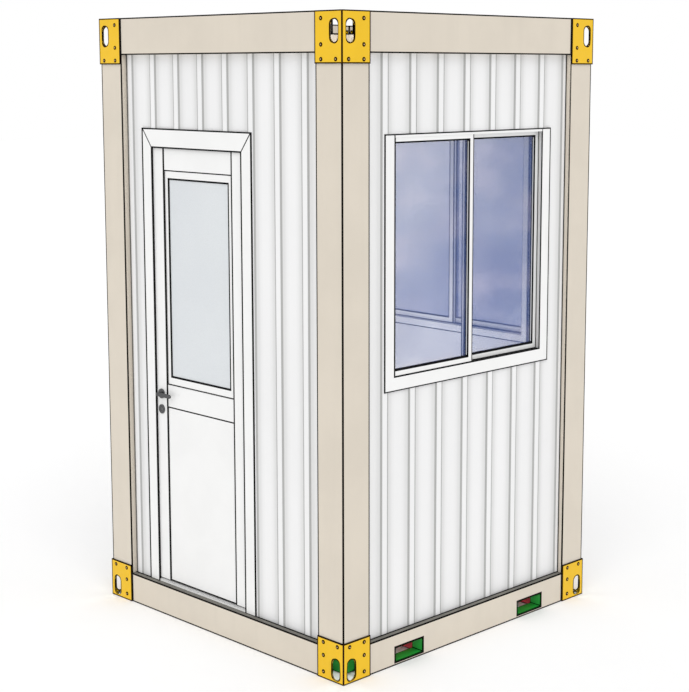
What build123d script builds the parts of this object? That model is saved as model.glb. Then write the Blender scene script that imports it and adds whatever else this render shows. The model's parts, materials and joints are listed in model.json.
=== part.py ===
# Guard booth: a one-person cabin of bolted steel frame and ribbed sandwich panels.
# Millimetres, +Z up. The origin is the middle of the footprint, on the ground.
# The door is in the front wall, which faces -Y. The other three walls have a sliding window each.
import os

from build123d import *

# Overall frame, measured over the outer faces of the corner posts
booth_width = 1500.0
booth_depth = 1500.0
booth_height = 2577.0

# Corner posts and beams, cold-formed hollow sections
post_side = 142.5
post_wall = 4.0
post_drain_height = 82.0
top_beam_height = 155.5
bottom_beam_height = 130.0
top_beam_depth = 90.0
bottom_beam_depth = 58.0
beam_wall = 4.0
roof_flange_width = 35.0
roof_flange_thickness = 4.0

# Corner fittings, bent plates with one lifting slot in each face
fitting_plate = 5.0
top_fitting_height = 195.0
bottom_fitting_height = 166.5
slot_length = 84.0
slot_width = 43.0
slot_from_corner = 38.0
top_slot_below_top = 75.5
bottom_slot_above_base = 52.6
post_hole_clearance = 4.0

# Angle brackets inside the foot of each post
bracket_recess = 70.0
bracket_plate = 6.0
bracket_foot_gap = 4.0
bracket_height = 122.0

# Fork pockets, lined with sleeves, in the left and right bottom beams
pocket_width = 162.0
pocket_height = 60.5
pocket_above_base = 13.5
pocket_from_post = 145.5
sleeve_wall = 3.0

# Floor and its joists, one joist on each side of a fork tunnel
joist_width = 40.0
joist_height = 106.0
joist_from_pocket = 1.0
floor_thickness = 20.0
floor_clearance = 2.0
flashing_thickness = 2.0

# Ribbed sandwich panels of the walls and the roof
panel_thickness = 50.0
panel_recess = 29.0
panel_end_clearance = 1.0
rib_pitch = 157.2
rib_height = 5.5
rib_crest_width = 27.0
rib_flank_run = 9.0
rib_flank_rise = 3.6
rib_skirt_run = 37.5
front_first_rib = 27.5
window_wall_first_rib = 107.2
roof_clearance = 3.0
roof_first_rib = 30.0

# Sheet-metal trim that laps over the crests of the ribs
trim_thickness = 2.5

# Sliding windows, placed by their margins from the posts and the top beam
window_from_post = 107.5
window_below_beam = 306.5
window_sill = 1115.0
window_stile = 49.0
window_bottom_bar = 52.0
window_head_bar = 4.0
window_flange_lap = 20.0
window_inner_lip = 6.5
sash_setback = 3.0
sash_thickness = 18.0
sash_slide_gap = 1.5
sash_rail = 28.0
front_sash_lap = 20.0
rear_sash_lap = 2.0
sash_end_clearance = 2.0
pane_thickness = 5.0
pane_setback = 11.0

# Doorway, clear between the inner edges of its casing, which stands off the left post and the top beam
casing_from_left_post = 113.0
casing_below_beam = 309.5
door_clear_width = 586.0
casing_side_width = 58.0
casing_head_width = 75.5
casing_mitre_gap = 0.6
casing_lap = 12.0
hinge_gap = 6.5
latch_gap = 8.0
head_gap = 6.5
jamb_thickness = 25.0
threshold_height = 10.0
threshold_gap = 6.0

# Door leaf, as thick as the wall panels
stile_width = 80.0
top_rail_height = 107.0
mid_rail_height = 95.0
mid_rail_top = 1020.0
rail_setback = 1.5
panel_setback = 3.0
bead_setback = 5.0
bead_side_width = 30.0
bead_end_width = 38.0
door_pane_thickness = 6.0
door_pane_setback = 4.0

# Lever set and key plate
lever_height = 976.0
key_plate_height = 908.0
handle_from_clear_edge = 33.0
rose_radius = 21.0
rose_thickness = 5.0
key_plate_radius = 20.0
key_plate_thickness = 4.0
key_slot_length = 17.0
key_slot_width = 7.0
spindle_radius = 6.0
spindle_clearance = 0.4
neck_radius = 7.0
neck_gap = 0.6
neck_length = 14.0
lever_reach = 88.0
grip_height = 16.0
lever_thickness = 9.0
lever_edge_chamfer = 2.5

# Door hinges, on the inside
hinge_length = 100.0
hinge_plate = 3.0
hinge_plate_width = 32.0
hinge_knuckle_radius = 7.0
hinge_pin_radius = 3.5
hinge_pin_clearance = 0.3
hinge_knuckle_gap = 1.0
hinge_face_clearance = 1.0
hinge_end_inset = 170.0

# How far every cutting solid runs past the faces that it cuts
overrun = 10.0

# Turn in degrees from one side or corner to the next
quarter_turn = 90

# Sides and corners in turn, anticlockwise seen from above
side_names = ("front", "right", "back", "left")
corner_names = ("front_right", "back_right", "back_left", "front_left")

# Places worked out from the sizes above
wall_base = bottom_beam_height + flashing_thickness
wall_top = booth_height - top_beam_height
panel_back = panel_recess + panel_thickness
rib_crest = panel_recess - rib_height
trim_face = rib_crest - trim_thickness
window_top = wall_top - window_below_beam
pocket_offset = booth_depth / 2 - post_side - pocket_from_post - pocket_width / 2
door_clear_left = -booth_width / 2 + post_side + casing_from_left_post + casing_side_width
door_clear_right = door_clear_left + door_clear_width
door_clear_top = wall_top - casing_below_beam - casing_head_width
leaf_left = door_clear_left - casing_lap
leaf_right = door_clear_right + casing_lap
leaf_bottom = wall_base + threshold_height + threshold_gap
leaf_top = door_clear_top + casing_lap
jamb_left = leaf_left - latch_gap
jamb_right = leaf_right + hinge_gap
jamb_head = leaf_top + head_gap
door_hole_left = jamb_left - jamb_thickness
door_hole_right = jamb_right + jamb_thickness
door_hole_top = jamb_head + jamb_thickness
hinge_x = (leaf_right + jamb_right) / 2
hinge_recess = panel_back + hinge_face_clearance + hinge_knuckle_radius
handle_x = door_clear_left + handle_from_clear_edge


def block(x0, x1, y0, y1, z0, z1):
    """A box given by its lowest and highest corners."""
    middle = Pos((x0 + x1) / 2, (y0 + y1) / 2, (z0 + z1) / 2)
    return middle * Box(x1 - x0, y1 - y0, z1 - z0)


def side_length(name):
    """Length of a side over the outer faces of its two posts."""
    return booth_width if name in ("front", "back") else booth_depth


def half_between_posts(name):
    """Half the length of a side between its two posts."""
    return side_length(name) / 2 - post_side


def on_side(name, shape):
    """Places a shape drawn with X along the wall, Y inward from the post face and Z up."""
    across = booth_depth if name in ("front", "back") else booth_width
    return Rot(0, 0, quarter_turn * side_names.index(name)) * Pos(0, -across / 2, 0) * shape


def on_corner(name, shape):
    """Places a shape drawn with the outer corner at the origin and the booth at -X and +Y."""
    x = booth_width / 2 if name.endswith("right") else -booth_width / 2
    y = booth_depth / 2 if name.startswith("back") else -booth_depth / 2
    return Pos(x, y, 0) * Rot(0, 0, quarter_turn * corner_names.index(name)) * shape


def on_every_corner(shape):
    """Four copies of a corner shape, which stay separate solids."""
    return Compound(children=[on_corner(name, shape) for name in corner_names])


def along_wall(sketch, depth):
    """Extrudes an X-Z sketch inward, along +Y, from the post face."""
    return extrude(Plane.XZ * sketch, -depth)


# Frame

def cut_both_faces(outline):
    """An outline cut at the lifting height near the top and near the base, in both faces at a corner."""
    reach = fitting_plate + post_wall + overrun
    cutters = []
    for height in (booth_height - top_slot_below_top, bottom_slot_above_base):
        front = extrude(Plane.XZ * Pos(-slot_from_corner, height) * outline, reach, both=True)
        cutters += [front, Rot(0, 0, -quarter_turn) * front]
    return cutters


def fitting_slots():
    """The tall lifting slots of a corner fitting."""
    return cut_both_faces(SlotOverall(slot_length, slot_width, rotation=quarter_turn))


def post_holes():
    """Plain holes in a post behind the slots, larger all round, so that a hook bears on the fitting."""
    width = slot_width + 2 * post_hole_clearance
    height = slot_length + 2 * post_hole_clearance
    return cut_both_faces(Rectangle(width, height))


def corner_post():
    """A square tube. Its inner walls stop short of the top, so that the roof drains into it."""
    outer = block(-post_side, 0, 0, post_side, 0, booth_height)
    hollow = block(-post_side + post_wall, -post_wall, post_wall, post_side - post_wall,
                   -overrun, booth_height + overrun)
    drain_floor = booth_height - post_drain_height
    drain = block(-post_side - overrun, -post_wall, post_wall, post_side + overrun,
                  drain_floor, booth_height + overrun)
    return outer - hollow - drain - post_holes()


def corner_fitting(z0, z1):
    """An angle plate wrapped round the outside of a post."""
    front = block(-post_side, fitting_plate, -fitting_plate, 0, z0, z1)
    side = block(0, fitting_plate, -fitting_plate, post_side, z0, z1)
    return front + side - fitting_slots()


def foot_bracket():
    """An angle bracket that stiffens the foot of a post, behind its slots."""
    reach = post_side - post_wall
    top = bracket_foot_gap + bracket_height
    front = block(-reach, -bracket_recess, bracket_recess, bracket_recess + bracket_plate,
                  bracket_foot_gap, top)
    side = block(-bracket_recess - bracket_plate, -bracket_recess, bracket_recess, reach,
                 bracket_foot_gap, top)
    return front + side


def hollow_beam(name, depth, z0, z1):
    """A box-section beam between two posts."""
    half = half_between_posts(name)
    outer = block(-half, half, 0, depth, z0, z1)
    hollow = block(-half - overrun, half + overrun, beam_wall, depth - beam_wall,
                   z0 + beam_wall, z1 - beam_wall)
    return outer - hollow


def top_beam(name):
    """A box beam with an inner flange along its foot, which carries the roof panel."""
    half = half_between_posts(name)
    flange = block(-half, half, top_beam_depth, top_beam_depth + roof_flange_width,
                   wall_top, wall_top + roof_flange_thickness)
    return on_side(name, hollow_beam(name, top_beam_depth, wall_top, booth_height) + flange)


def pocket_block(offset, inset, y0, y1):
    """The space of one fork pocket, drawn in by a wall thickness all round."""
    return block(offset - pocket_width / 2 + inset, offset + pocket_width / 2 - inset, y0, y1,
                 pocket_above_base + inset, pocket_above_base + pocket_height - inset)


def bottom_beam(name, with_pockets):
    """A box beam on the ground, with two fork pockets cut through where asked."""
    beam = hollow_beam(name, bottom_beam_depth, 0, bottom_beam_height)
    if with_pockets:
        for offset in (-pocket_offset, pocket_offset):
            beam -= pocket_block(offset, 0, -overrun, bottom_beam_depth + overrun)
    return on_side(name, beam)


def fork_sleeves(name):
    """The two steel sleeves that line the fork pockets of one beam."""
    pieces = []
    for offset in (-pocket_offset, pocket_offset):
        outer = pocket_block(offset, 0, 0, bottom_beam_depth)
        inner = pocket_block(offset, sleeve_wall, -overrun, bottom_beam_depth + overrun)
        pieces.append(on_side(name, outer - inner))
    return Compound(children=pieces)


# Floor and roof

def floor_joists():
    """Joists from the left beam to the right one, beside each fork tunnel."""
    half = booth_width / 2 - bottom_beam_depth
    top = bottom_beam_height - floor_thickness
    from_tunnel = pocket_width / 2 + joist_from_pocket + joist_width / 2
    pieces = []
    for offset in (-pocket_offset, pocket_offset):
        for hand in (-1, 1):
            middle = offset + hand * from_tunnel
            pieces.append(block(-half, half, middle - joist_width / 2, middle + joist_width / 2,
                                top - joist_height, top))
    return Compound(children=pieces)


def floor_board():
    """One floor sheet on the joists, level with the beams and notched round the posts."""
    half_x = booth_width / 2 - bottom_beam_depth - floor_clearance
    half_y = booth_depth / 2 - bottom_beam_depth - floor_clearance
    z0 = bottom_beam_height - floor_thickness
    board = block(-half_x, half_x, -half_y, half_y, z0, bottom_beam_height)
    notch_side = post_side + floor_clearance
    notch = block(-notch_side, overrun, -overrun, notch_side, z0 - overrun, bottom_beam_height + overrun)
    for name in corner_names:
        board -= on_corner(name, notch)
    return board


def base_flashing():
    """Flat strips on the bottom beams and the edge of the floor, under the walls."""
    pieces = []
    for name in side_names:
        half = half_between_posts(name)
        strip = block(-half, half, 0, panel_back, bottom_beam_height, wall_base)
        pieces.append(on_side(name, strip))
    return Compound(children=pieces)


def rib_outline():
    """Section of one rib, with its crest towards -Y: soft skirts, steep flanks and a flat crest."""
    crest = rib_crest_width / 2
    flank = crest + rib_flank_run
    skirt = flank + rib_skirt_run
    shoulder = rib_flank_rise - rib_height
    left_skirt = TangentArc((-skirt, 0), (-flank, shoulder), tangent=(1, 0))
    cap = Polyline((-flank, shoulder), (-crest, -rib_height), (crest, -rib_height), (flank, shoulder))
    right_skirt = TangentArc((skirt, 0), (flank, shoulder), tangent=(-1, 0))
    base = Line((skirt, 0), (-skirt, 0))
    return make_face(left_skirt + cap + right_skirt + base)


def ribbed_section(length, first_rib):
    """Section of a sandwich panel of a given length: its ribbed face is towards -Y."""
    core = Pos(0, panel_thickness / 2) * Rectangle(length, panel_thickness)
    start = -length / 2 + first_rib
    count = int((length - first_rib) // rib_pitch) + 1
    section = core
    for index in range(count):
        section += Pos(start + index * rib_pitch, 0) * rib_outline()
    window = Rectangle(length, 2 * (panel_thickness + rib_height))
    return section & window


def ribbed_wall(name, first_rib):
    """A whole ribbed wall between two posts, before its openings are cut."""
    length = 2 * (half_between_posts(name) - panel_end_clearance)
    section = Pos(0, panel_recess) * ribbed_section(length, first_rib - panel_end_clearance)
    return Pos(0, 0, wall_base) * extrude(section, wall_top - wall_base)


def wall_part(wall, x0, x1, z0, z1):
    """The part of a wall between two heights and two places along it."""
    return wall & block(x0, x1, 0, panel_back + overrun, z0, z1)


def roof_panel():
    """A ribbed sandwich panel that lies on the flanges of the top beams, ribs up."""
    length = booth_width - 2 * (top_beam_depth + roof_clearance)
    run = booth_depth - 2 * (top_beam_depth + roof_clearance)
    section = ribbed_section(length, roof_first_rib)
    top = wall_top + roof_flange_thickness + panel_thickness
    across = Plane(origin=(0, 0, top), x_dir=(1, 0, 0), z_dir=(0, 1, 0))
    panel = extrude(across * section, run / 2, both=True)
    notch_side = post_side + roof_clearance
    notch = block(-notch_side, overrun, -overrun, notch_side, wall_top, booth_height)
    for name in corner_names:
        panel -= on_corner(name, notch)
    return panel


# Windows

def ring(x0, x1, z0, z1, side, bottom, top, y0, y1):
    """A rectangular frame with its own width of stile, bottom bar and top bar."""
    outer = block(x0, x1, y0, y1, z0, z1)
    inner = block(x0 + side, x1 - side, y0 - overrun, y1 + overrun, z0 + bottom, z1 - top)
    return outer - inner


def window_half(name):
    """Half the width of a wall's window over its frame."""
    return half_between_posts(name) - window_from_post


def window_frame(name):
    """Outer frame of a window: a flange over the ribs and a box through the wall, grooved for sashes."""
    half = window_half(name)
    opening = half - window_stile
    floor = window_sill + window_bottom_bar
    head = window_top - window_head_bar
    flange = ring(-half, half, window_sill, window_top, window_stile, window_bottom_bar, window_head_bar,
                  trim_face, rib_crest)
    box_back = panel_back + window_inner_lip
    outer = block(-half + window_flange_lap, half - window_flange_lap, rib_crest, box_back,
                  window_sill + window_flange_lap, window_top)
    inner = block(-opening, opening, rib_crest - overrun, box_back + overrun, floor, head)
    left_end = opening + front_sash_lap + sash_end_clearance
    right_end = opening + rear_sash_lap + sash_end_clearance
    channel_back = sash_faces()[1] + sash_thickness + sash_slide_gap
    channel = block(-left_end, right_end, rib_crest, channel_back, floor, head)
    return flange + (outer - inner - channel)


def sash_faces():
    """How far the outer faces of the front sash and the rear sash lie behind the post face."""
    front = trim_face + sash_setback
    return front, front + sash_thickness + sash_slide_gap


def sash_spans(name):
    """Left edge, right edge and outer face of the front sash and of the rear one."""
    opening = window_half(name) - window_stile
    front, rear = sash_faces()
    return [(-opening - front_sash_lap, sash_rail / 2, front),
            (-sash_rail / 2, opening + rear_sash_lap, rear)]


def window_sashes(name):
    """The two sashes, one behind the other, with their meeting stiles in line."""
    z0 = window_sill + window_bottom_bar
    z1 = window_top - window_head_bar - sash_end_clearance
    return [ring(x0, x1, z0, z1, sash_rail, sash_rail, sash_rail, face, face + sash_thickness)
            for x0, x1, face in sash_spans(name)]


def window_panes(name):
    """One pane in each sash."""
    z0 = window_sill + window_bottom_bar + sash_rail
    z1 = window_top - window_head_bar - sash_end_clearance - sash_rail
    panes = []
    for x0, x1, face in sash_spans(name):
        front = face + pane_setback
        panes.append(block(x0 + sash_rail, x1 - sash_rail, front, front + pane_thickness, z0, z1))
    return panes


def window_wall(name):
    """The nodes of a wall with a sliding window: panels beside, over and under it, then the window."""
    wall = ribbed_wall(name, window_wall_first_rib)
    end = half_between_posts(name)
    hole = window_half(name) - window_flange_lap
    hole_floor = window_sill + window_flange_lap
    beside = [wall_part(wall, -end, -hole, wall_base, wall_top),
              wall_part(wall, hole, end, wall_base, wall_top)]
    over_and_under = [wall_part(wall, -hole, hole, window_top, wall_top),
                      wall_part(wall, -hole, hole, wall_base, hole_floor)]
    return {
        name + "_wall_beside_window": solids_on_side(name, beside),
        name + "_wall_over_and_under_window": solids_on_side(name, over_and_under),
        name + "_window_frame": on_side(name, window_frame(name)),
        name + "_window_sashes": solids_on_side(name, window_sashes(name)),
        name + "_window_glass": solids_on_side(name, window_panes(name)),
    }


# Doorway

def door_wall():
    """The nodes of the front wall: panels beside and over the doorway."""
    wall = ribbed_wall("front", front_first_rib)
    end = half_between_posts("front")
    return {
        "front_wall_left": on_side("front", wall_part(wall, -end, door_hole_left, wall_base, wall_top)),
        "front_wall_right": on_side("front", wall_part(wall, door_hole_right, end, wall_base, wall_top)),
        "front_wall_over_door": on_side("front", wall_part(wall, door_hole_left, door_hole_right,
                                                           door_hole_top, wall_top)),
    }


def door_frame():
    """Jambs and head that line the hole in the wall."""
    outer = block(door_hole_left, door_hole_right, rib_crest, panel_back, wall_base, door_hole_top)
    inner = block(jamb_left, jamb_right, rib_crest - overrun, panel_back + overrun,
                  wall_base - overrun, jamb_head)
    return outer - inner


def door_casing():
    """Three flat strips with mitred corners, which lap over the ribs outside and over the leaf inside."""
    outer_left = door_clear_left - casing_side_width
    outer_right = door_clear_right + casing_side_width
    head = door_clear_top + casing_head_width
    gap = casing_mitre_gap
    outlines = [
        [(outer_left, wall_base), (door_clear_left, wall_base), (door_clear_left, door_clear_top),
         (outer_left, head)],
        [(door_clear_right, wall_base), (outer_right, wall_base), (outer_right, head),
         (door_clear_right, door_clear_top)],
        [(door_clear_left + gap, door_clear_top), (door_clear_right - gap, door_clear_top),
         (outer_right - gap, head), (outer_left + gap, head)],
    ]
    strips = [along_wall(Polygon(*outline, align=None), trim_thickness) for outline in outlines]
    return [Pos(0, trim_face, 0) * strip for strip in strips]


def door_threshold():
    """A raised sill between the jambs."""
    return block(jamb_left, jamb_right, rib_crest, panel_back, wall_base, wall_base + threshold_height)


# Door leaf

def leaf_frame():
    """Two stiles with a top rail and a middle rail, and a bore for the lever spindle."""
    stiles = [block(leaf_left, leaf_left + stile_width, panel_recess, panel_back, leaf_bottom, leaf_top),
              block(leaf_right - stile_width, leaf_right, panel_recess, panel_back, leaf_bottom, leaf_top)]
    rail_spans = [(leaf_top - top_rail_height, leaf_top), (mid_rail_top - mid_rail_height, mid_rail_top)]
    frame = stiles[0] + stiles[1]
    for z0, z1 in rail_spans:
        frame += block(leaf_left + stile_width, leaf_right - stile_width,
                       panel_recess + rail_setback, panel_back - rail_setback, z0, z1)
    bore = through_leaf(spindle_radius + spindle_clearance, panel_recess - overrun, panel_back + overrun)
    return frame - bore


def through_leaf(radius, y0, y1):
    """A round bar on the lever's axis between two depths."""
    return Pos(handle_x, (y0 + y1) / 2, lever_height) * Rot(quarter_turn, 0, 0) * Cylinder(radius, y1 - y0)


def leaf_panel():
    """The closed lower panel of the leaf."""
    return block(leaf_left + stile_width, leaf_right - stile_width, panel_recess + panel_setback,
                 panel_back - panel_setback, leaf_bottom, mid_rail_top - mid_rail_height)


def glazing_bead():
    """The frame that holds the pane of the leaf."""
    return ring(leaf_left + stile_width, leaf_right - stile_width, mid_rail_top, leaf_top - top_rail_height,
                bead_side_width, bead_end_width, bead_end_width,
                panel_recess + bead_setback, panel_back - bead_setback)


def leaf_pane():
    """The pane of the leaf, close behind the outer face of its bead."""
    front = panel_recess + bead_setback + door_pane_setback
    return block(leaf_left + stile_width + bead_side_width, leaf_right - stile_width - bead_side_width,
                 front, front + door_pane_thickness,
                 mid_rail_top + bead_end_width, leaf_top - top_rail_height - bead_end_width)


def handle_plates():
    """A rose and a key plate on each face of the leaf."""
    bore = through_leaf(spindle_radius + spindle_clearance, panel_recess - overrun, panel_back + overrun)
    key_slot = SlotOverall(key_slot_length, key_slot_width, rotation=quarter_turn)
    pieces = []
    for face, hand in ((panel_recess, -1), (panel_back, 1)):
        rose_edge = face + hand * rose_thickness
        rose = through_leaf(rose_radius, min(face, rose_edge), max(face, rose_edge)) - bore
        plate = Circle(key_plate_radius) - key_slot
        key_plate = Plane.XZ * Pos(handle_x, key_plate_height) * plate
        pieces.append(rose)
        pieces.append(Pos(0, face, 0) * extrude(key_plate, -hand * key_plate_thickness))
    return pieces


def lever_set():
    """Outer and inner levers on one spindle."""
    rod = through_leaf(spindle_radius, panel_recess - rose_thickness - neck_gap - neck_length,
                       panel_back + rose_thickness + neck_gap + neck_length)
    grip = SlotCenterToCenter(lever_reach - grip_height / 2, grip_height)
    outline = Plane.XZ * Pos(handle_x + (lever_reach - grip_height / 2) / 2, lever_height) * grip
    lever = rod
    for face, hand in ((panel_recess, -1), (panel_back, 1)):
        near = face + hand * (rose_thickness + neck_gap)
        far = near + hand * neck_length
        arm = Pos(0, far, 0) * extrude(outline, -hand * lever_thickness)
        outer_edges = arm.faces().sort_by(Axis.Y)[0 if hand < 0 else -1].edges()
        lever += chamfer(outer_edges, lever_edge_chamfer)
        lever += through_leaf(neck_radius, min(near, far), max(near, far))
    return lever


# Hinges

def hinge_heights():
    """Foot of each hinge: near the bottom, in the middle and near the top of the leaf."""
    low = leaf_bottom + hinge_end_inset
    high = leaf_top - hinge_end_inset - hinge_length
    return [low, (low + high) / 2, high]


def knuckle(radius, z0, z1):
    """A round bar on the hinge axis between two heights."""
    return Pos(hinge_x, hinge_recess, (z0 + z1) / 2) * Cylinder(radius, z1 - z0)


def hinge_plate_on(hand, z0, z1, tabs):
    """A flat plate beside the knuckles, with a tab that reaches under each of its own."""
    near = hinge_knuckle_radius + hinge_face_clearance
    edges = sorted((hinge_x + hand * near, hinge_x + hand * hinge_plate_width))
    plate = block(edges[0], edges[1], panel_back, panel_back + hinge_plate, z0, z1)
    for low, high in tabs:
        inner = sorted((hinge_x, hinge_x + hand * near))
        plate += block(inner[0], inner[1], panel_back, panel_back + hinge_plate, low, high)
    return plate


def hinge_halves(z0):
    """The half on the frame, with the pin, and the half on the leaf."""
    third = (hinge_length - 2 * hinge_knuckle_gap) / 3
    z1 = z0 + hinge_length
    outer = [(z0, z0 + third), (z1 - third, z1)]
    middle = (z0 + third + hinge_knuckle_gap, z1 - third - hinge_knuckle_gap)
    fixed = hinge_plate_on(1, z0, z1, outer) + knuckle(hinge_pin_radius, z0, z1)
    for low, high in outer:
        fixed += knuckle(hinge_knuckle_radius, low, high)
    swinging = hinge_plate_on(-1, z0, z1, [middle]) + knuckle(hinge_knuckle_radius, *middle)
    swinging -= knuckle(hinge_pin_radius + hinge_pin_clearance, z0 - overrun, z1 + overrun)
    return fixed, swinging


# Assembly

def solids_on_side(name, shapes):
    """Several separate solids of one wall, placed as one node."""
    return Compound(children=[on_side(name, shape) for shape in shapes])


def frame_parts():
    """Posts, beams, fittings, brackets and sleeves."""
    parts = {}
    for name in corner_names:
        parts["corner_post_" + name] = on_corner(name, corner_post())
    for name in side_names:
        parts["top_beam_" + name] = top_beam(name)
        parts["bottom_beam_" + name] = bottom_beam(name, name in ("left", "right"))
    top_fitting = corner_fitting(booth_height - top_fitting_height, booth_height)
    parts["top_corner_fittings"] = on_every_corner(top_fitting)
    parts["bottom_corner_fittings"] = on_every_corner(corner_fitting(0, bottom_fitting_height))
    parts["foot_brackets"] = on_every_corner(foot_bracket())
    for name in ("left", "right"):
        parts["fork_sleeves_" + name] = fork_sleeves(name)
    return parts


def door_parts():
    """Doorway, leaf, lever and hinges."""
    halves = [hinge_halves(z0) for z0 in hinge_heights()]
    return {
        "door_frame": on_side("front", door_frame()),
        "door_casing": solids_on_side("front", door_casing()),
        "door_threshold": on_side("front", door_threshold()),
        "door_leaf_frame": on_side("front", leaf_frame()),
        "door_leaf_panel": on_side("front", leaf_panel()),
        "door_glazing_bead": on_side("front", glazing_bead()),
        "door_glass": on_side("front", leaf_pane()),
        "door_handle_plates": solids_on_side("front", handle_plates()),
        "door_lever": on_side("front", lever_set()),
        "door_hinges_on_frame": solids_on_side("front", [fixed for fixed, _ in halves]),
        "door_hinges_on_leaf": solids_on_side("front", [swinging for _, swinging in halves]),
    }


def build_parts():
    """Every node of the booth by name."""
    parts = frame_parts()
    parts["floor_joists"] = floor_joists()
    parts["floor_board"] = floor_board()
    parts["base_flashing"] = base_flashing()
    parts["roof_panel"] = roof_panel()
    parts.update(door_wall())
    for name in ("right", "back", "left"):
        parts.update(window_wall(name))
    parts.update(door_parts())
    return parts


os.makedirs("parts", exist_ok=True)
for node, shape in build_parts().items():
    export_step(shape, os.path.join("parts", node + ".step"))
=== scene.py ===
# Dresses the guard booth: a finish for every node, and the bolts, seals and seams that its solids leave out.
# Metres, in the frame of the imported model: +Z up, the door faces -Y, the wall to its right faces +X.
import json
import math

import bmesh
import bpy
from mathutils import Matrix, Vector


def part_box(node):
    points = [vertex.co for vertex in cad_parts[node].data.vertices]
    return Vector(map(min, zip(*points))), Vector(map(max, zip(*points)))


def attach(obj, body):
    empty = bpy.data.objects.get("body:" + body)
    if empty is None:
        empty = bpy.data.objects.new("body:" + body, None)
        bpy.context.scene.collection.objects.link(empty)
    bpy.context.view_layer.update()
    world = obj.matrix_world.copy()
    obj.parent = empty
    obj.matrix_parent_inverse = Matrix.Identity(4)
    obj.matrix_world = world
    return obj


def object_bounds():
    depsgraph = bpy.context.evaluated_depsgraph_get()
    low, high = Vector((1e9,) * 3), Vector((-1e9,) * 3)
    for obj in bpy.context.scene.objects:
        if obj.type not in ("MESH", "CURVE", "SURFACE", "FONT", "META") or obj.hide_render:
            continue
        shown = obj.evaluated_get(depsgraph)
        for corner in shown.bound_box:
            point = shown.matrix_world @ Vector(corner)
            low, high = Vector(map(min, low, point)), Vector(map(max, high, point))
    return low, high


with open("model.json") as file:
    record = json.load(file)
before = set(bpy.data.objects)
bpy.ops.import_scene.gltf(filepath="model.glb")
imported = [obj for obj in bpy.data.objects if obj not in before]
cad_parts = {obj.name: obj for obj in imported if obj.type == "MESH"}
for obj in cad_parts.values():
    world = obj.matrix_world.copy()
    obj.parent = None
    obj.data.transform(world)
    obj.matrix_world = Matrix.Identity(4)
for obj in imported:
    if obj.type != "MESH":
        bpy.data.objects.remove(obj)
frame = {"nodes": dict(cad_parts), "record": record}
cad_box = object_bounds()

# Camera, as fitted to the picture of 689 by 692 pixels
image_width_px = 689.0
image_height_px = 692.0
focal_px = 1547.4
principal_px = (368.9, 288.2)
camera_place = Vector((4.8607, -4.7205, 2.3597))
camera_yaw = math.radians(45.01)
camera_pitch = math.radians(8.04)
sensor_mm = 36.0

# Light
sky_strength = 0.81
sun_strength = 0.9
sun_angle = math.radians(50.0)
sun_elevation = math.radians(50.0)
sun_distance = 8.0
cabin_lamp_power = 13.0
cabin_lamp_radius = 0.25
cabin_lamp_above_floor = 0.85
post_head_lamp_power = 0.14
post_foot_lamp_power = 0.2
post_lamp_rise = 0.10
post_lamp_radius = 0.02
tunnel_lamp_power = 0.05
tunnel_lamp_size = 0.05
tunnel_lamp_inset = 0.08
floor_half_size = 40.0

# Bolts of the corner fittings, placed from the edges of each plate
bolt_from_inner_edge = 0.035
bolt_from_corner = 0.0285
top_bolt_rises = (0.016, 0.070, 0.166)
bottom_bolt_rises = (0.028, 0.095, 0.148)
bolt_segments = 12
washer_radius = 0.0085
washer_height = 0.0012
washer_wall_share = 0.7
head_radius = 0.0026
head_height = 0.0018
head_crown = 0.0008
socket_apothem = 0.0013
socket_depth = 0.0008
six_side_turn = math.radians(60.0)

# Seals, with the shapes of their sections as shares of their widths and heights
lip_flat_share = 0.45
lip_shoulder_share = 0.85
lip_shoulder_height_share = 0.6
lip_toe_height_share = 0.2
pane_gasket_width = 0.0022
pane_gasket_height = 0.0016
pane_wedge_depth = 0.0062
inner_bead_width = 0.005
inner_bead_height = 0.003
inner_bead_shoulder_share = 0.6
door_gasket_width = 0.003
door_gasket_right_share = 2.0
door_gasket_from_bead_face = 0.001
door_seal_width = 0.007
door_seal_left_share = 0.5
door_seal_head_share = 0.6
door_seal_round = 0.0012
door_seal_cover = 0.004
door_seal_gap = 0.0004
track_edge = 0.0015
track_pile_height = 0.004
track_pile_base_share = 0.5
edge_trim_width = 0.005
edge_trim_flat_share = 0.7
edge_trim_corner_share = 0.3
edge_trim_left_share = 1.5
edge_trim_right_share = 1.2
edge_trim_foot_share = 0.75
window_head_share = 0.2
casing_head_share = 0.7
drip_strip_height = 0.0006
head_cover_height = 0.0095
head_cover_round = 0.0006
wall_seal_size = 0.003
wall_seal_flat_share = 0.6
leaf_seam_width = 0.008
leaf_seam_flat_share = 0.8
leaf_seam_corner_share = 0.4
fitting_bead_size = 0.003
fitting_bead_hollow_share = 0.4

# Dark strips along the sharp edges of the nodes, by material slot, with a few nodes that need their own
strip_widths = {"frame_paint": 0.0055, "fitting_paint": 0.005, "bracket_paint": 0.003, "joist_paint": 0.003,
                "trim_white": 0.0024, "flashing": 0.0012}
own_strip_widths = {"door_leaf_frame": 0.0015, "door_glazing_bead": 0.005, "door_leaf_panel": 0.0062,
                    "door_threshold": 0.0006,
                    "right_window_sashes": 0.005, "back_window_sashes": 0.004, "left_window_sashes": 0.004,
                    "right_window_frame": 0.0012, "back_window_frame": 0.0012, "left_window_frame": 0.0012}
strip_angle = math.radians(30.0)
flat_angle = math.radians(0.5)
holed_nodes = ("corner_post", "bottom_beam_left", "bottom_beam_right", "top_corner", "bottom_corner",
               "right_window", "back_window", "left_window", "door_leaf_frame")

weld_distance = 0.00001

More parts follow.
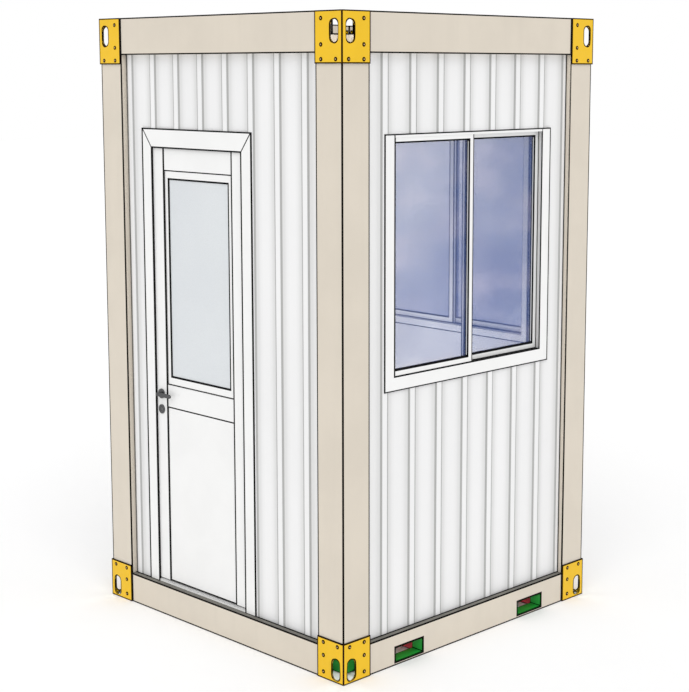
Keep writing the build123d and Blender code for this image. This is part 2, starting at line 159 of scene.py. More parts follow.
# Shading: gloss, the span of noise that is spread out, how far edges bend, and linear colours
paint_gloss = 0.35
edge_gloss = 0.05
noise_low = 0.3
noise_high = 0.7
edge_dot_none = 0.985
edge_dot_full = 0.93
rubbed_edge_radius = 0.001
panel_white = (0.865, 0.865, 0.868)
# painted shade for the gentle slopes and the steep flanks of the panel ribs
panel_slope_shade = (0.62, 0.62, 0.615)
panel_steep_shade = (0.36, 0.36, 0.355)
trim_coat = (0.885, 0.885, 0.88)
film_thin = (0.155, 0.22, 0.48)
film_dense = (0.072, 0.135, 0.395)
# colour of the painted sky reflection on the panes
film_sky_reflection = (0.50, 0.47, 0.66)
frost_grey = (0.745, 0.775, 0.80)
frost_pale = (0.775, 0.805, 0.825)
flashing_dark = (0.15, 0.142, 0.125)
flashing_dusty = (0.195, 0.185, 0.16)
board_dark = (0.43, 0.40, 0.36)
board_pale = (0.5, 0.47, 0.42)
board_speckle = (0.36, 0.33, 0.3)
rubber_black = (0.006, 0.006, 0.0065)
rubber_bloom = (0.014, 0.014, 0.0145)
white = (1.0, 1.0, 1.0)

side_names = ("front", "right", "back", "left")
window_sides = ("right", "back", "left")
quarter_turn = math.radians(90.0)
post_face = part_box("corner_post_front_right")[1].x


# Frames and boxes

def side_frame(side):
    """From a wall's own frame, X along it, Y inward from the post face and Z up, to the booth's."""
    turn = Matrix.Rotation(quarter_turn * side_names.index(side), 4, "Z")
    return turn @ Matrix.Translation((0, -post_face, 0))


def wall_places(node, side):
    """Places of a node's vertices in a wall's own frame."""
    to_wall = side_frame(side).inverted()
    return [to_wall @ vertex.co for vertex in frame["nodes"][node].data.vertices]


def solid_boxes(node, side="front"):
    """Lowest and highest corner of each separate solid of a node, in a wall's own frame."""
    mesh = bmesh.new()
    mesh.from_mesh(frame["nodes"][node].data)
    mesh.transform(side_frame(side).inverted())
    bmesh.ops.remove_doubles(mesh, verts=mesh.verts, dist=weld_distance)
    boxes = []
    unseen = set(mesh.verts)
    while unseen:
        open_ends = [unseen.pop()]
        places = []
        while open_ends:
            vertex = open_ends.pop()
            places.append(vertex.co.copy())
            for edge in vertex.link_edges:
                other = edge.other_vert(vertex)
                if other in unseen:
                    unseen.remove(other)
                    open_ends.append(other)
        low = Vector([min(place[axis] for place in places) for axis in range(3)])
        high = Vector([max(place[axis] for place in places) for axis in range(3)])
        boxes.append((low, high))
    mesh.free()
    return sorted(boxes, key=lambda box: (round(box[0].y, 4), round(box[0].x, 4), round(box[0].z, 4)))


# Mesh building

def piece(name, mesh, material, body, smooth=False):
    """Turns a finished mesh into a piece that rides on a body."""
    bmesh.ops.recalc_face_normals(mesh, faces=mesh.faces)
    for face in mesh.faces:
        face.smooth = smooth
    data = bpy.data.meshes.new(name)
    mesh.to_mesh(data)
    mesh.free()
    data.materials.append(material)
    obj = bpy.data.objects.new(name, data)
    bpy.context.scene.collection.objects.link(obj)
    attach(obj, body)
    return obj


def swept(mesh, side, corners, section, closed):
    """Sweeps a closed section along a path of straight runs on a wall, mitred at its corners.

    A corner is (x, z, share of the section's width along x, share along z), and a point of the section is
    (width inward from the path, depth behind the post face)."""
    to_booth = side_frame(side)
    rings = []
    for x, z, share_x, share_z in corners:
        ring = [mesh.verts.new(to_booth @ Vector((x + width * share_x, depth, z + width * share_z)))
                for width, depth in section]
        rings.append(ring)
    count = len(section)
    runs = len(rings) if closed else len(rings) - 1
    for index in range(runs):
        first = rings[index]
        second = rings[(index + 1) % len(rings)]
        for point in range(count):
            after = (point + 1) % count
            mesh.faces.new((first[point], first[after], second[after], second[point]))
    if not closed:
        mesh.faces.new(rings[0])
        mesh.faces.new(rings[-1])


def ring_corners(x0, x1, z0, z1):
    """Corners of a rectangle for a section that lies inside it."""
    return [(x0, z0, 1, 1), (x1, z0, -1, 1), (x1, z1, -1, -1), (x0, z1, 1, -1)]


def lip_section(width, back, height):
    """A rubber lip that stands on a face at a depth and slopes down to its inner edge."""
    return [(0.0, back), (0.0, back - height), (width * lip_flat_share, back - height),
            (width * lip_shoulder_share, back - height * lip_shoulder_height_share),
            (width, back - height * lip_toe_height_share), (width, back)]


def trim_section(front, back):
    """A rubber trim as thick as the sheet whose edge it covers, with its outer corner taken off."""
    return [(0.0, back), (0.0, front), (edge_trim_width * edge_trim_flat_share, front),
            (edge_trim_width, front + (back - front) * edge_trim_corner_share), (edge_trim_width, back)]


def seal_section(back):
    """A square rubber seal on a face at a depth, with one corner taken off."""
    flat = wall_seal_size * wall_seal_flat_share
    return [(0.0, back), (0.0, back - wall_seal_size), (flat, back - wall_seal_size),
            (wall_seal_size, back - flat), (wall_seal_size, back)]


def lathe(mesh, place, rings):
    """A round or six-sided form from rings of (radius, height, six-sided or not) about the place's Z axis.

    The faces come back in bands, from the first ring to the last."""
    built = []
    for radius, height, six_sided in rings:
        ring = []
        for index in range(bolt_segments):
            angle = index * math.tau / bolt_segments
            reach = radius
            if six_sided:
                reach = radius / math.cos(angle % six_side_turn - six_side_turn / 2)
            point = Vector((reach * math.cos(angle), reach * math.sin(angle), height))
            ring.append(mesh.verts.new(place @ point))
        built.append(ring)
    bands = []
    for first, second in zip(built, built[1:]):
        band = []
        for index in range(bolt_segments):
            after = (index + 1) % bolt_segments
            band.append(mesh.faces.new((first[index], first[after], second[after], second[index])))
        bands.append(band)
    mesh.faces.new(built[0])
    bands.append([mesh.faces.new(built[-1])])
    return bands


# Materials

class Surface:
    """A material on one Principled shader, with short calls for the nodes behind its sockets."""

    def __init__(self, name, roughness, metallic=0.0):
        self.material = bpy.data.materials.new(name)
        self.material.use_nodes = True
        self.tree = self.material.node_tree
        self.shader = self.tree.nodes["Principled BSDF"]
        self.shader.inputs["Roughness"].default_value = roughness
        self.shader.inputs["Metallic"].default_value = metallic
        self.place = self.add("ShaderNodeTexCoord").outputs["Object"]

    def feed(self, socket, value):
        """Links an output to a socket, or sets a plain value on it."""
        if isinstance(value, bpy.types.NodeSocket):
            self.tree.links.new(value, socket)
        elif hasattr(value, "__len__") and len(value) == 3 and socket.type == "RGBA":
            socket.default_value = (*value, 1.0)
        else:
            socket.default_value = value

    def add(self, kind, inputs=None, **settings):
        """A node with its settings, and its inputs linked or set."""
        node = self.tree.nodes.new(kind)
        for name, value in settings.items():
            setattr(node, name, value)
        for name, value in (inputs or {}).items():
            self.feed(node.inputs[name], value)
        return node

    def finish(self, name, value):
        """Feeds one of the shader's own sockets."""
        self.feed(self.shader.inputs[name], value)

    def noise(self, scale, detail=3.0, stretch=(1.0, 1.0, 1.0)):
        """Noise at a scale per metre, stretched along the axes."""
        place = self.add("ShaderNodeMapping", {"Vector": self.place, "Scale": stretch}).outputs["Vector"]
        inputs = {"Vector": place, "Scale": scale, "Detail": detail}
        return self.add("ShaderNodeTexNoise", inputs).outputs["Fac"]

    def spread(self, value, low=noise_low, high=noise_high, out_low=0.0, out_high=1.0):
        """Maps a range of a value smoothly onto another range."""
        node = self.add("ShaderNodeMapRange", {
            "Value": value, "From Min": low, "From Max": high, "To Min": out_low, "To Max": out_high,
        }, interpolation_type="SMOOTHSTEP")
        return node.outputs["Result"]

    def math(self, operation, first, second=0.0):
        """A sum, product or other operation on two values."""
        node = self.add("ShaderNodeMath", operation=operation)
        self.feed(node.inputs[0], first)
        self.feed(node.inputs[1], second)
        return node.outputs["Value"]

    def blend(self, factor, first, second):
        """Mixes two colours."""
        node = self.add("ShaderNodeMix", data_type="RGBA")
        self.feed(node.inputs[0], factor)
        self.feed(node.inputs[6], first)
        self.feed(node.inputs[7], second)
        return node.outputs[2]

    def axes(self, vector):
        """The three parts of a vector."""
        parts = self.add("ShaderNodeSeparateXYZ", {"Vector": vector}).outputs
        return parts["X"], parts["Y"], parts["Z"]

    def normal(self):
        """The surface's own direction."""
        return self.add("ShaderNodeNewGeometry").outputs["Normal"]

    def edges(self, radius):
        """1 on the edges of a piece, 0 away from them."""
        rounded = self.add("ShaderNodeBevel", {"Radius": radius}, samples=8).outputs["Normal"]
        agree = self.add("ShaderNodeVectorMath", operation="DOT_PRODUCT")
        self.feed(agree.inputs[0], rounded)
        self.feed(agree.inputs[1], self.normal())
        return self.spread(agree.outputs["Value"], edge_dot_full, edge_dot_none, 1.0, 0.0)

    def bump(self, height, strength, distance):
        """Feeds the shader's normal from a height."""
        node = self.add("ShaderNodeBump", {"Height": height, "Strength": strength, "Distance": distance})
        self.finish("Normal", node.outputs["Normal"])


def shaded(colour, share):
    """A colour made darker by a share."""
    return tuple(part * share for part in colour)


def painted_steel(name, colour, roughness):
    """Brushed-on paint over steel: faint clouds and runs, and orange peel."""
    surface = Surface(name, roughness)
    clouds = surface.spread(surface.noise(scale=4.0, detail=4.0))
    runs = surface.noise(scale=16.0, detail=2.0, stretch=(1.0, 1.0, 0.06))
    runs = surface.spread(runs, low=0.45, high=0.75)
    tone = surface.blend(clouds, shaded(colour, 0.965), shaded(colour, 1.015))
    tone = surface.blend(surface.math("MULTIPLY", runs, 0.35), tone, shaded(colour, 0.93))
    surface.finish("Base Color", tone)
    surface.finish("Specular IOR Level", paint_gloss)
    worn = surface.spread(surface.noise(scale=30.0), out_low=roughness - 0.06, out_high=roughness + 0.08)
    surface.finish("Roughness", worn)
    surface.bump(surface.noise(scale=420.0, detail=2.0), strength=0.12, distance=0.0006)
    return surface.material


def panel_coat():
    """Coil-coated panel skin with painted shade along the slopes of its ribs: darker on the gentle slopes,
    darker still on the steep flanks, and clean on the flats.
    """
    surface = Surface("panel_paint", 0.42)
    across, along, _ = surface.axes(surface.normal())
    slope = surface.math("MINIMUM", surface.math("ABSOLUTE", across), surface.math("ABSOLUTE", along))
    soft = surface.spread(slope, low=0.0, high=0.12)
    steep = surface.spread(slope, low=0.12, high=0.37)
    clouds = surface.spread(surface.noise(scale=3.0, detail=4.0, stretch=(1.0, 1.0, 0.4)))
    tone = surface.blend(clouds, shaded(panel_white, 0.975), shaded(panel_white, 1.01))
    # painted shade: the rib slopes darken with their steepness, the steep flanks most
    tone = surface.blend(surface.math("MULTIPLY", soft, 0.8), tone, panel_slope_shade)
    tone = surface.blend(surface.math("MULTIPLY", steep, 0.85), tone, panel_steep_shade)
    surface.finish("Base Color", tone)
    surface.finish("Roughness", surface.spread(surface.noise(scale=22.0), out_low=0.36, out_high=0.5))
    surface.bump(surface.noise(scale=500.0, detail=2.0), strength=0.06, distance=0.0005)
    return surface.material


def powder_coat():
    """White powder coat of the trim, door and windows."""
    surface = Surface("trim_white", 0.38)
    clouds = surface.spread(surface.noise(scale=5.0))
    tone = surface.blend(clouds, shaded(trim_coat, 0.98), shaded(trim_coat, 1.01))
    surface.finish("Base Color", tone)
    surface.finish("Roughness", surface.spread(surface.noise(scale=26.0), out_low=0.32, out_high=0.46))
    surface.bump(surface.noise(scale=600.0, detail=2.0), strength=0.05, distance=0.0004)
    return surface.material


def window_film():
    """Clear panes under a blue solar film, denser to the right and towards the sill, with a painted
    reflection of pale sky clouds over it.
    """
    surface = Surface("window_glass", 0.06)
    across, along, height = surface.axes(surface.place)
    sideways = surface.math("ABSOLUTE", surface.math("ADD", across, along))
    sideways = surface.spread(sideways, low=0.25, high=1.15)
    downward = surface.spread(height, low=1.2, high=2.1, out_low=1.0, out_high=0.0)
    patches = surface.spread(surface.noise(scale=2.6, detail=1.0, stretch=(1.0, 1.0, 1.3)))
    # painted reflection: pale wisps of sky cloud laid over the film
    reflected_wisps = surface.noise(scale=3.4, detail=2.0, stretch=(0.8, 0.8, 1.7))
    reflected_wisps = surface.spread(reflected_wisps, low=0.42, high=0.74)
    density = surface.math("MULTIPLY", sideways, 0.5)
    density = surface.math("ADD", density, surface.math("MULTIPLY", downward, 0.28))
    density = surface.math("ADD", density, surface.math("MULTIPLY", patches, 0.24))
    blue = surface.blend(density, film_thin, film_dense)
    pale = surface.math("MULTIPLY", reflected_wisps, 0.6)
    surface.finish("Base Color", surface.blend(pale, blue, film_sky_reflection))
    surface.finish("Alpha", surface.spread(density, low=0.0, high=1.0, out_low=0.22, out_high=0.42))
    return surface.material


def frosted_pane():
    """Frosted pale pane of the door."""
    surface = Surface("door_glass", 0.3)
    clouds = surface.spread(surface.noise(scale=2.5))
    surface.finish("Base Color", surface.blend(clouds, frost_grey, frost_pale))
    frost = surface.spread(surface.noise(scale=700.0, detail=2.0), out_low=0.86, out_high=0.94)
    surface.finish("Alpha", frost)
    surface.bump(surface.noise(scale=900.0, detail=2.0), strength=0.25, distance=0.0004)
    return surface.material


def dark_flashing():
    """Weathered dark grey flashing."""
    surface = Surface("flashing", 0.6)
    dust = surface.spread(surface.noise(scale=14.0, detail=5.0), low=0.35)
    surface.finish("Base Color", surface.blend(dust, flashing_dark, flashing_dusty))
    surface.bump(surface.noise(scale=240.0), strength=0.15, distance=0.0005)
    return surface.material


def sealed_board():
    """Floor sheet with a faint speckle."""
    surface = Surface("floor_sheet", 0.5)
    grain = surface.spread(surface.noise(scale=90.0, detail=4.0), low=0.4, high=0.65)
    patches = surface.spread(surface.noise(scale=3.0))
    tone = surface.blend(patches, board_dark, board_pale)
    surface.finish("Base Color", surface.blend(grain, tone, board_speckle))
    surface.bump(grain, strength=0.1, distance=0.0004)
    return surface.material


def edge_coat(name, colour):
    """Dark coat on the edges of a piece, rubbed a little unevenly."""
    surface = Surface(name, 0.75)
    rubbed = surface.spread(surface.noise(scale=35.0, detail=4.0), low=0.35)
    surface.finish("Base Color", surface.blend(rubbed, shaded(colour, 0.8), shaded(colour, 1.25)))
    surface.finish("Specular IOR Level", edge_gloss)
    return surface.material


def dark_metal(name, colour, roughness, metallic=0.85):
    """Dark satin metal with a fine brushed grain and paler rubbed edges."""
    surface = Surface(name, roughness, metallic)
    brushed = surface.spread(surface.noise(scale=160.0, detail=2.0, stretch=(1.0, 1.0, 9.0)))
    tone = surface.blend(brushed, shaded(colour, 0.8), shaded(colour, 1.2))
    tone = surface.blend(surface.edges(rubbed_edge_radius), tone, shaded(colour, 1.9))
    surface.finish("Base Color", tone)
    worn = surface.spread(brushed, low=0.0, high=1.0, out_low=roughness - 0.06, out_high=roughness + 0.08)
    surface.finish("Roughness", worn)
    return surface.material


def black_rubber():
    """Matt rubber of the seals."""
    surface = Surface("black_rubber", 0.62)
    bloom = surface.spread(surface.noise(scale=60.0, detail=4.0), low=0.4, high=0.75)
    surface.finish("Base Color", surface.blend(bloom, rubber_black, rubber_bloom))
    surface.finish("Specular IOR Level", edge_gloss)
    surface.bump(surface.noise(scale=900.0), strength=0.2, distance=0.0003)
    return surface.material


finishes = {
    "frame_paint": painted_steel("frame_paint", (0.70, 0.634, 0.538), 0.42),
    "fitting_paint": painted_steel("fitting_paint", (0.87, 0.53, 0.005), 0.4),
    "bracket_paint": painted_steel("bracket_paint", (0.018, 0.40, 0.05), 0.45),
    "joist_paint": painted_steel("joist_paint", (0.62, 0.06, 0.075), 0.55),
    "panel_paint": panel_coat(),
    "trim_white": powder_coat(),
    "flashing": dark_flashing(),
    "floor_sheet": sealed_board(),
    "window_glass": window_film(),
    "door_glass": frosted_pane(),
    "handle_metal": dark_metal("handle_metal", (0.095, 0.095, 0.098), 0.42),
    "hinge_steel": dark_metal("hinge_steel", (0.5, 0.5, 0.49), 0.38),
}
edge_coats = {
    "frame_paint": edge_coat("frame_edges", (0.006, 0.0045, 0.0035)),
    "fitting_paint": edge_coat("fitting_edges", (0.02, 0.006, 0.002)),
    "bracket_paint": edge_coat("bracket_edges", (0.004, 0.02, 0.006)),
    "joist_paint": edge_coat("joist_edges", (0.03, 0.005, 0.005)),
    "trim_white": edge_coat("trim_edges", (0.005, 0.005, 0.0055)),
    "flashing": edge_coat("flashing_edges", (0.012, 0.012, 0.012)),
}
rubber = black_rubber()
bolt_washer = edge_coat("bolt_washer", (0.016, 0.005, 0.002))
bolt_head = dark_metal("bolt_head", (0.5, 0.36, 0.2), 0.5, 0.1)


# Dressing the nodes

def dress_nodes():
    """Gives every node the finish of its material slot, and dark edges where its slot has them."""
    for part in frame["record"]["subparts"]:
        slot = part["material_slot"]
        node = frame["nodes"][part["node"]]
        node.data.materials.clear()
        node.data.materials.append(finishes[slot])
        if slot in edge_coats:
            node.data.materials.append(edge_coats[slot])
            width = own_strip_widths.get(part["node"], strip_widths[slot])
            add_edge_strips(node, width, not part["node"].startswith(holed_nodes))
            if slot == "frame_paint":
                hold_strips(node)


def add_edge_strips(node, width, whole_faces):
    """Lays a strip of the node's second material along both sides of its sharp edges, and keeps its shape.

    The triangles of a flat face are joined first, unless the face has a hole in it."""
    weld = node.modifiers.new("weld", "WELD")
    weld.merge_threshold = weld_distance
    if whole_faces:
        flat = node.modifiers.new("flat", "DECIMATE")
        flat.decimate_type = "DISSOLVE"
        flat.angle_limit = flat_angle
    strips = node.modifiers.new("strips", "BEVEL")
    strips.width = width
    strips.segments = 2
    strips.profile = 1.0
    strips.limit_method = "ANGLE"
    strips.angle_limit = strip_angle
    strips.use_clamp_overlap = False
    strips.material = 1


def hold_strips(node):
    """Draws strips that are wider than the end of a hollow section back onto the section's own surface."""
    bare = bpy.data.objects.new(node.name + "_bare", node.data)
    bare.matrix_world = node.matrix_world.copy()
    hold = node.modifiers.new("hold", "SHRINKWRAP")
    hold.wrap_method = "NEAREST_SURFACEPOINT"
    hold.target = bare


# Bolts of the corner fittings

def add_bolt(mesh, side, x, depth, z):
    """A washer and a crowned head with a six-sided socket, standing on a plate."""
    stand = side_frame(side) @ Matrix.Translation((x, depth, z)) @ Matrix.Rotation(quarter_turn, 4, "X")
    top = washer_height + head_height
    rim = (washer_radius + head_radius) / 2
    crown_radius = (head_radius + socket_apothem) / 2
    bands = lathe(mesh, stand, [
        (washer_radius, 0.0, False), (washer_radius, washer_height * washer_wall_share, False),
        (rim, washer_height, False), (head_radius, washer_height, False),
        (head_radius, top - head_crown, False), (crown_radius, top, False),
        (socket_apothem, top, True), (socket_apothem, top - socket_depth, True)])
    for band in bands[3:]:
        for face in band:
            face.material_index = 1


def fitting_bolts(node, rises, lone_rise, name):
    """Four bolts on each outer face of the four fittings of a node."""
    mesh = bmesh.new()
    for side in side_names:
        for low, high in solid_boxes(node, side):
            if low.y > 0:
                continue
            hand = 1 if low.x > 0 else -1
            inner_edge = low.x if hand > 0 else high.x
            for rise in rises:
                add_bolt(mesh, side, inner_edge + hand * bolt_from_inner_edge, low.y, low.z + rise)
            add_bolt(mesh, side, hand * (post_face - bolt_from_corner), low.y, low.z + lone_rise)
    obj = piece(name, mesh, bolt_washer, "booth")
    obj.data.materials.append(bolt_head)
    return obj


def fitting_beads(node, beam, name):
    """Beads of dark sealant where the plates of the corner fittings lie on the ends of the beams."""
    mesh = bmesh.new()
    beam_low, beam_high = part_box(beam)
    size = fitting_bead_size
    hollow = size * fitting_bead_hollow_share
    section = [(0.0, 0.0), (0.0, -size), (hollow, -hollow), (size, 0.0)]
    for side in side_names:
        for low, high in solid_boxes(node, side):
            if low.y > 0:
                continue
            hand = 1 if low.x > 0 else -1
            x = low.x if hand > 0 else high.x
            swept(mesh, side, [(x, beam_low.z, -hand, 0), (x, beam_high.z, -hand, 0)], section, False)
    return piece(name, mesh, rubber, "booth")


# Windows

def pane_gaskets(side):
    """Rubber lips round both faces of a window's two panes, and wedges at the foot of their outer faces."""
    mesh = bmesh.new()
    for low, high in solid_boxes(side + "_window_glass", side):
        corners = ring_corners(low.x, high.x, low.z, high.z)
        swept(mesh, side, corners, lip_section(pane_gasket_width, low.y, pane_gasket_height), True)
        swept(mesh, side, corners, lip_section(pane_gasket_width, high.y, -pane_gasket_height), True)
        wedge = [(0.0, low.y), (0.0, low.y - pane_wedge_depth),
                 (pane_gasket_width, low.y - pane_gasket_height), (pane_gasket_width, low.y)]
        swept(mesh, side, [(low.x, low.z, 0, 1), (high.x, low.z, 0, 1)], wedge, False)
    return piece(side + "_pane_gaskets", mesh, rubber, "booth")


def flange_edges(side):
    """Depth of the front of a window's flange, and the places of its edges along X and up Z."""
    places = wall_places(side + "_window_frame", side)
    front = min(place.y for place in places)
    face = [place for place in places if place.y < front + weld_distance]
    return front, sorted({round(place.x, 5) for place in face}), sorted({round(place.z, 5) for place in face})


def frame_trim(side):
    """Rubber trims outside a window's flange and round its opening, and a drip strip on its head."""
    mesh = bmesh.new()
    front, across, upward = flange_edges(side)
    left, opening_left, opening_right, right = across
    foot, opening_foot, opening_head, head = upward
    section = trim_section(front, rib_crest(side))
    outer = [(left, foot, -1, -edge_trim_foot_share),
             (right, foot, edge_trim_right_share, -edge_trim_foot_share),
             (right, head, edge_trim_right_share, window_head_share), (left, head, -1, window_head_share)]
    inner = [(opening_left, opening_head, edge_trim_left_share, 0),
             (opening_left, opening_foot, edge_trim_left_share, edge_trim_foot_share),
             (opening_right, opening_foot, -1, edge_trim_foot_share), (opening_right, opening_head, -1, 0)]
    swept(mesh, side, outer, section, True)
    swept(mesh, side, inner, section, False)
    bar = head - opening_head
    drip = [(0.0, front), (0.0, front - drip_strip_height), (bar, front - drip_strip_height), (bar, front)]
    swept(mesh, side, [(left, opening_head, 0, 1), (right, opening_head, 0, 1)], drip, False)
    return piece(side + "_window_trim", mesh, rubber, "booth")


def head_cover(side):
    """A white cover strip under the head of a window's flange, over the gap above the sashes."""
    mesh = bmesh.new()
    front, (_, left, right, _), (_, _, head, _) = flange_edges(side)
    back = rib_crest(side)
    section = [(0.0, back), (0.0, front), (head_cover_height - head_cover_round, front),
               (head_cover_height, front + head_cover_round), (head_cover_height, back)]
    swept(mesh, side, [(left, head, 0, -1), (right, head, 0, -1)], section, False)
    return piece(side + "_window_head_cover", mesh, finishes["trim_white"], "booth")


def inner_beads(side):
    """A bead of dark sealant round a window's frame, on the inner face of the wall."""
    mesh = bmesh.new()
    places = wall_places(side + "_window_frame", side)
    back = max(place.y for place in places)
    face = [place for place in places if place.y > back - weld_distance]
    left = min(place.x for place in face)
    right = max(place.x for place in face)
    foot = min(place.z for place in face)
    head = max(place.z for place in face)
    wall = solid_boxes(side + "_wall_over_and_under_window", side)[0][1].y
    shoulder = (inner_bead_width * inner_bead_shoulder_share,
                wall + inner_bead_height * inner_bead_shoulder_share)
    section = [(0.0, wall), (0.0, wall + inner_bead_height), shoulder, (inner_bead_width, wall)]
    corners = [(left, foot, -1, -1), (right, foot, 1, -1), (right, head, 1, 1), (left, head, -1, 1)]
    swept(mesh, side, corners, section, True)
    return piece(side + "_inner_beads", mesh, rubber, "booth")


def rib_crest(side):
    """How far the crests of a wall's ribs lie behind the post face."""
    return solid_boxes(side + "_wall_over_and_under_window", side)[0][0].y


def track_brushes(side):
    """Brush strips in the empty half of each sash track, on the sill of the window."""
    mesh = bmesh.new()
    front, rear = solid_boxes(side + "_window_sashes", side)
    opening = rear[1].x - 2 * track_edge
    spans = [(front[1].x, opening, front[0].y, rear[0].y), (-opening, rear[0].x, front[1].y, rear[1].y)]
    for x0, x1, depth0, depth1 in spans:
        z = front[0].z
        near = depth0 + track_edge
        far = depth1 - track_edge
        middle = (near + far) / 2
        base = track_pile_height * track_pile_base_share
        section = [(0.0, far), (0.0, near), (base, near), (track_pile_height, middle), (base, far)]
        swept(mesh, side, [(x0, z, 0, 1), (x1, z, 0, 1)], section, False)
    return piece(side + "_track_brushes", mesh, rubber, "booth")


# Door

def door_gasket():
    """A wedge of rubber between the pane of the door and its bead, on both faces."""
    mesh = bmesh.new()
    low, high = solid_boxes("door_glass")[0]
    bead_low, bead_high = solid_boxes("door_glazing_bead")[0]
    corners = [(low.x, low.z, 1, 1), (high.x, low.z, -door_gasket_right_share, 1),
               (high.x, high.z, -door_gasket_right_share, -1), (low.x, high.z, 1, -1)]
    outer = low.y - bead_low.y - door_gasket_from_bead_face
    inner = bead_high.y - high.y - door_gasket_from_bead_face
    swept(mesh, "front", corners, lip_section(door_gasket_width, low.y, outer), True)
    swept(mesh, "front", corners, lip_section(door_gasket_width, high.y, -inner), True)
    return piece("door_pane_gasket", mesh, rubber, "door_leaf")


def door_seal():
    """A rubber bulb round the inner edge of the casing and behind it, which the closed leaf comes up to."""
    mesh = bmesh.new()
    strips = sorted(solid_boxes("door_casing"), key=lambda box: box[0].x)
    left, right = strips[0], strips[-1]
    head = strips[1]
    front, back = left[0].y, left[1].y
    rear = solid_boxes("door_leaf_frame")[0][0].y - door_seal_gap
    rounded = door_seal_width - door_seal_round
    section = [(0.0, back), (0.0, front), (rounded, front), (door_seal_width, front + door_seal_round),
               (door_seal_width, rear - door_seal_round), (rounded, rear), (-door_seal_cover, rear),
               (-door_seal_cover, back)]
    corners = [(left[1].x, left[0].z, door_seal_left_share, 0),
               (left[1].x, head[0].z, door_seal_left_share, -door_seal_head_share),
               (right[0].x, head[0].z, -1, -door_seal_head_share), (right[0].x, right[0].z, -1, 0)]
    swept(mesh, "front", corners, section, False)
    return piece("door_seal", mesh, rubber, "booth")


def leaf_seams():
    """Flush seams of sealant along the inner edge of both stiles, on both faces of the leaf."""
    mesh = bmesh.new()
    frame_low, frame_high = solid_boxes("door_leaf_frame")[0]
    panel_low, panel_high = solid_boxes("door_leaf_panel")[0]
    for x, hand in ((panel_low.x, 1), (panel_high.x, -1)):
        for face, back in ((frame_low.y, panel_low.y), (frame_high.y, panel_high.y)):
            corner = face + (back - face) * leaf_seam_corner_share
            section = [(0.0, back), (0.0, face), (leaf_seam_width * leaf_seam_flat_share, face),
                       (leaf_seam_width, corner), (leaf_seam_width, back)]
            corners = [(x, frame_low.z, hand, 0), (x, frame_high.z, hand, 0)]
            swept(mesh, "front", corners, section, False)
    return piece("door_leaf_seams", mesh, rubber, "door_leaf")


def casing_trim():
    """A rubber trim clipped on the outer edge of the door casing."""
    mesh = bmesh.new()
    strips = sorted(solid_boxes("door_casing"), key=lambda box: box[0].x)
    left, right = strips[0], strips[-1]
    corners = [(left[0].x, left[0].z, -edge_trim_left_share, 0),
               (left[0].x, left[1].z, -edge_trim_left_share, casing_head_share),
               (right[1].x, right[1].z, edge_trim_right_share, casing_head_share),
               (right[1].x, right[0].z, edge_trim_right_share, 0)]
    swept(mesh, "front", corners, trim_section(left[0].y, left[1].y), False)
    return piece("door_casing_trim", mesh, rubber, "booth")


# Walls

def wall_seals(side, spans):
    """Square seals at the foot of a wall, over spans along it, and up its two posts."""
    mesh = bmesh.new()
    walls = [node for node in frame["nodes"] if node.startswith(side + "_wall_")]
    panels = [box for node in walls for box in solid_boxes(node, side)]
    crest = min(low.y for low, high in panels)
    foot = min(low.z for low, high in panels)
    head = max(high.z for low, high in panels)
    end = max(high.x for low, high in panels)
    places = [place for node in walls for place in wall_places(node, side)]
    flat = min(place.y for place in places if place.x > end - weld_distance)
    for x0, x1 in spans or [(-end, end)]:
        swept(mesh, side, [(x0, foot, 0, 1), (x1, foot, 0, 1)], seal_section(crest), False)
    for hand in (-1, 1):
        corners = [(hand * end, foot, -hand, 0), (hand * end, head, -hand, 0)]
        swept(mesh, side, corners, seal_section(flat), False)
    return piece(side + "_wall_seals", mesh, rubber, "booth")


def front_spans():
    """The stretches of the front wall's foot on each side of the door casing."""
    walls = [solid_boxes(node)[0] for node in ("front_wall_left", "front_wall_right")]
    strips = sorted(solid_boxes("door_casing"), key=lambda box: box[0].x)
    return [(walls[0][0].x, strips[0][0].x), (strips[-1][1].x, walls[1][1].x)]


# Stage

def floor():
    """A pale floor that keeps the booth's shadow and runs into the white background."""
    mesh = bmesh.new()
    bmesh.ops.create_grid(mesh, x_segments=1, y_segments=1, size=floor_half_size)
    data = bpy.data.meshes.new("floor")
    mesh.to_mesh(data)
    mesh.free()
    surface = Surface("floor_white", 0.9)
    surface.finish("Base Color", white)
    surface.finish("Specular IOR Level", 0.0)
    data.materials.append(surface.material)
    obj = bpy.data.objects.new("floor", data)
    bpy.context.scene.collection.objects.link(obj)
    return obj


def sky():
    """An even world that lights the booth, and shows as plain white."""
    world = bpy.data.worlds.new("studio")
    bpy.context.scene.world = world
    world.use_nodes = True
    tree = world.node_tree
    tree.nodes.clear()
    path = tree.nodes.new("ShaderNodeLightPath").outputs
    seen = path["Is Camera Ray"]
    for name in ("Is Glossy Ray", "Is Transmission Ray"):
        either = tree.nodes.new("ShaderNodeMath")
        either.operation = "MAXIMUM"
        tree.links.new(seen, either.inputs[0])
        tree.links.new(path[name], either.inputs[1])
        seen = either.outputs["Value"]
    mix = tree.nodes.new("ShaderNodeMixShader")
    tree.links.new(seen, mix.inputs["Fac"])
    for socket, strength in ((1, sky_strength), (2, 1.0)):
        light = tree.nodes.new("ShaderNodeBackground")
        light.inputs["Color"].default_value = (*white, 1.0)
        light.inputs["Strength"].default_value = strength
        tree.links.new(light.outputs["Background"], mix.inputs[socket])
    output = tree.nodes.new("ShaderNodeOutputWorld")
    tree.links.new(mix.outputs["Shader"], output.inputs["Surface"])


def lamp(name, kind, place, aim, **settings):
    """A lamp that points from its place to its aim."""
    data = bpy.data.lights.new(name, kind)
    for setting, value in settings.items():
        setattr(data, setting, value)
    obj = bpy.data.objects.new(name, data)
    obj.location = place
    obj.rotation_euler = (Vector(aim) - Vector(place)).to_track_quat("-Z", "Y").to_euler()
    obj.visible_camera = False
    bpy.context.scene.collection.objects.link(obj)
    return obj


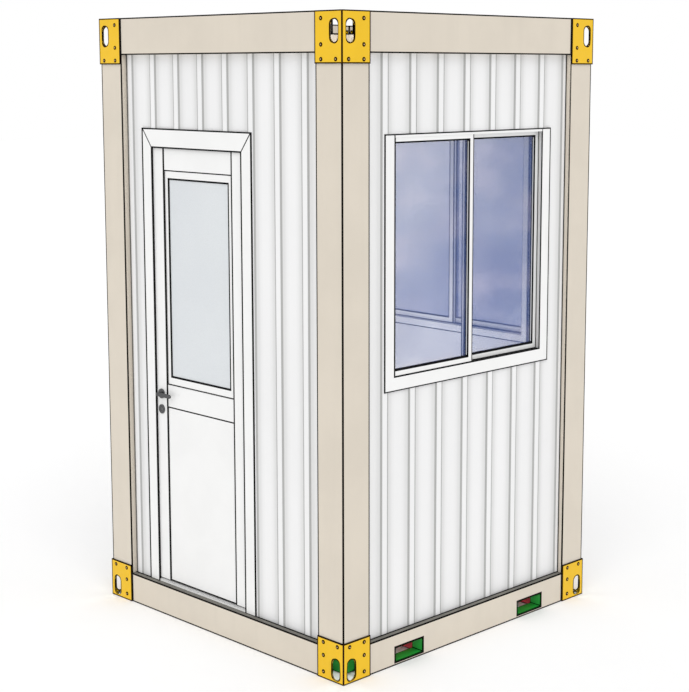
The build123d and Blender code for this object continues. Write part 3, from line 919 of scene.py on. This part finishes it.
def lamps():
    """A wide sun from the camera's side, and lamps in the cabin, in the posts and in the fork tunnels."""
    upward = Vector((0.0, 0.0, 1.0))
    toward = Vector((math.sin(camera_yaw), -math.cos(camera_yaw), 0.0))
    middle = upward * (cad_box[1].z / 2)
    sun_ray = toward * math.cos(sun_elevation) + upward * math.sin(sun_elevation)
    lamp("sun", "SUN", middle + sun_distance * sun_ray, middle, energy=sun_strength, angle=sun_angle)
    cabin_place = upward * (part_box("floor_board")[1].z + cabin_lamp_above_floor)
    lamp("cabin_lamp", "POINT", cabin_place, middle, energy=cabin_lamp_power,
         shadow_soft_size=cabin_lamp_radius)
    for node in ("corner_post_front_right", "corner_post_back_right", "corner_post_back_left",
                 "corner_post_front_left"):
        low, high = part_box(node)
        middle = (low + high) / 2
        foot = (low.z + post_lamp_rise, post_foot_lamp_power)
        head = (high.z - post_lamp_rise, post_head_lamp_power)
        for z, power in (foot, head):
            place = Vector((middle.x, middle.y, z))
            lamp("lamp_in_" + node, "POINT", place, place - upward, energy=power,
                 shadow_soft_size=post_lamp_radius)
    for low, high in solid_boxes("fork_sleeves_right", "right"):
        middle = (low + high) / 2
        for side in ("right", "left"):
            place = side_frame(side) @ Vector((low.x, high.y + tunnel_lamp_inset, middle.z))
            aim = side_frame(side) @ Vector((high.x, high.y + tunnel_lamp_inset, middle.z))
            lamp("tunnel_lamp", "AREA", place, aim, energy=tunnel_lamp_power, size=tunnel_lamp_size)


def camera():
    """The camera of the picture."""
    data = bpy.data.cameras.new("camera")
    longest = max(image_width_px, image_height_px)
    data.sensor_width = sensor_mm
    data.lens = focal_px * sensor_mm / longest
    data.shift_x = (image_width_px / 2 - principal_px[0]) / longest
    data.shift_y = (principal_px[1] - image_height_px / 2) / longest
    obj = bpy.data.objects.new("camera", data)
    obj.location = camera_place
    forward = Vector((-math.sin(camera_yaw) * math.cos(camera_pitch),
                      math.cos(camera_yaw) * math.cos(camera_pitch), -math.sin(camera_pitch)))
    obj.rotation_euler = forward.to_track_quat("-Z", "Y").to_euler()
    bpy.context.scene.collection.objects.link(obj)
    bpy.context.scene.camera = obj


dress_nodes()
fitting_bolts("top_corner_fittings", top_bolt_rises, top_bolt_rises[0], "top_fitting_bolts")
fitting_bolts("bottom_corner_fittings", bottom_bolt_rises, bottom_bolt_rises[-1], "bottom_fitting_bolts")
fitting_beads("top_corner_fittings", "top_beam_front", "top_fitting_beads")
fitting_beads("bottom_corner_fittings", "bottom_beam_front", "bottom_fitting_beads")
for window_side in window_sides:
    pane_gaskets(window_side)
    frame_trim(window_side)
    head_cover(window_side)
    inner_beads(window_side)
    track_brushes(window_side)
    wall_seals(window_side, None)
wall_seals("front", front_spans())
door_gasket()
door_seal()
leaf_seams()
casing_trim()
floor()
sky()
lamps()
camera()
bpy.context.scene.view_settings.view_transform = "Standard"
